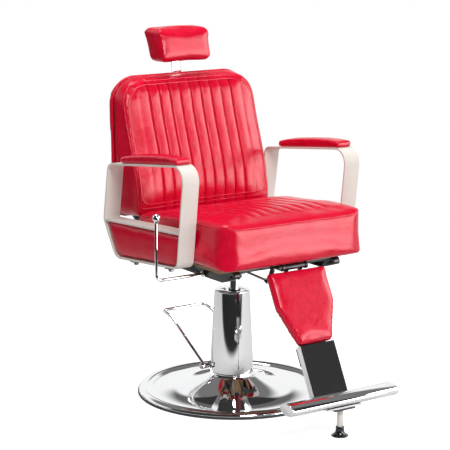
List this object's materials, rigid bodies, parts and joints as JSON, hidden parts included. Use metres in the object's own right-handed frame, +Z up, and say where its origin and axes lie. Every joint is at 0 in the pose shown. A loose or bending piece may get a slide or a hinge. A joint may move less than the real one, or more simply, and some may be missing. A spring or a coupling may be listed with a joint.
{
  "type": "hydraulic barber chair",
  "caption": "Barber chair on a round pump base with a foot pedal; flat band arms, reclining back with a linked legrest and a tilting headrest.",
  "frame": {"origin": "centre of the round base on the floor", "axes": "+Z up; the sitter faces -Y; +X is the sitter's left; the recline lever is on the -X side"},
  "size_m": [0.7203, 0.978, 1.15],
  "materials": {
    "rubber": "matte dark rubber",
    "steel": "plain machined steel",
    "chrome": "polished chrome plate",
    "black_paint": "semi-gloss black paint",
    "arm_paint": "satin champagne paint",
    "leather": "glossy grained upholstery",
    "plywood": "raw plywood",
    "leg_paint": "satin cream paint",
    "black_plastic": "glossy moulded plastic"
  },
  "bodies": {
    "base": {"base_trim": "rubber", "base_plate": "steel", "base_dish": "chrome", "pump_body": "black_paint", "pump_seal": "rubber", "neck_collar": "chrome", "pump_cover": "chrome", "cover_lid": "chrome", "lid_screws": "steel", "base_bolts": "steel"},
    "pedal": {"pedal_shaft": "steel", "pedal_bar": "chrome", "pedal_hubs": "chrome", "pump_cam": "steel"},
    "plunger": {"pump_plunger": "steel"},
    "piston": {"piston_rod": "chrome"},
    "seat": {"swivel_hub": "black_paint", "swivel_plate": "black_paint", "frame_rails": "black_paint", "cross_members": "black_paint", "frame_bolts": "steel", "seat_board": "plywood", "seat_cushion": "leather", "arm_brackets": "black_paint", "arm_left": "arm_paint", "arm_right": "arm_paint", "side_panel_left": "leather", "side_panel_right": "leather", "arm_pad_left": "leather", "arm_pad_right": "leather", "arm_bolts": "steel", "back_lugs": "black_paint", "legrest_bracket": "black_paint", "legrest_pin": "steel", "lock_housing": "steel"},
    "lever": {"recline_lever": "chrome", "lever_knob": "chrome", "lever_collar": "chrome", "lever_cam": "steel"},
    "back": {"back_shaft": "steel", "back_brackets": "black_paint", "back_crank": "black_paint", "back_board": "plywood", "back_cushion": "leather", "back_cover": "leather", "headrest_sleeve": "black_paint"},
    "link": {"recline_link": "steel"},
    "strip": {"headrest_strip": "chrome"},
    "headrest": {"headrest_pin": "steel", "headrest_board": "plywood", "headrest_cushion": "leather"},
    "legrest": {"legrest_strap": "black_paint", "legrest_pad": "leather", "legrest_channel": "chrome", "foot_bar": "chrome", "bar_caps": "chrome", "foot_plate": "black_paint", "leg_tube": "leg_paint"},
    "foot": {"bell_foot": "black_plastic"}
  },
  "joints": [
    {"name": "pedal_press", "type": "hinge", "parent": "base", "child": "pedal", "pos_m": [0, 0.048, 0.086], "axis": [-1, 0, 0], "range_deg": [0, 12], "stiffness_Nm_per_rad": 40, "springref_deg": -11.46},
    {"name": "plunger_stroke", "type": "slide", "parent": "base", "child": "plunger", "axis": [0, 0, -1], "range_m": [0, 0.0032]},
    {"name": "lift", "type": "slide", "parent": "base", "child": "piston", "axis": [0, 0, 1], "range_m": [0, 0.15]},
    {"name": "swivel", "type": "hinge", "parent": "piston", "child": "seat", "pos_m": [0, 0, 0.4], "axis": [0, 0, 1], "continuous": true},
    {"name": "lever_pull", "type": "hinge", "parent": "seat", "child": "lever", "pos_m": [0, -0.125, 0.44], "axis": [-1, 0, 0], "range_deg": [0, 20], "stiffness_Nm_per_rad": 4, "springref_deg": -11.46},
    {"name": "recline", "type": "hinge", "parent": "seat", "child": "back", "pos_m": [0, 0.2, 0.505], "axis": [-1, 0, 0], "range_deg": [0, 45]},
    {"name": "link_swing", "type": "hinge", "parent": "back", "child": "link", "pos_m": [0, 0.21531, 0.46804], "axis": [-1, 0, 0], "range_deg": [-45, 0]},
    {"name": "legrest_swing", "type": "hinge", "parent": "seat", "child": "legrest", "pos_m": [0, -0.315, 0.474], "axis": [-1, 0, 0], "range_deg": [0, 45]},
    {"name": "foot_level", "type": "slide", "parent": "legrest", "child": "foot", "axis": [0, 0, 1], "range_m": [0, 0.008]},
    {"name": "headrest_slide", "type": "slide", "parent": "back", "child": "strip", "axis": [0, 0.0523, 0.9986], "range_m": [-0.03, 0.08]},
    {"name": "headrest_tilt", "type": "hinge", "parent": "strip", "child": "headrest", "pos_m": [0, 0.34262, 1.085], "axis": [-1, 0, 0], "range_deg": [-12, 12]}
  ],
  "couplings": [
    {"joint": "plunger_stroke", "follows": "pedal_press", "m_per_rad": 0.0145},
    {"joint": "legrest_swing", "follows": "recline", "ratio": 1},
    {"joint": "link_swing", "follows": "recline", "ratio": -1}
  ]
}
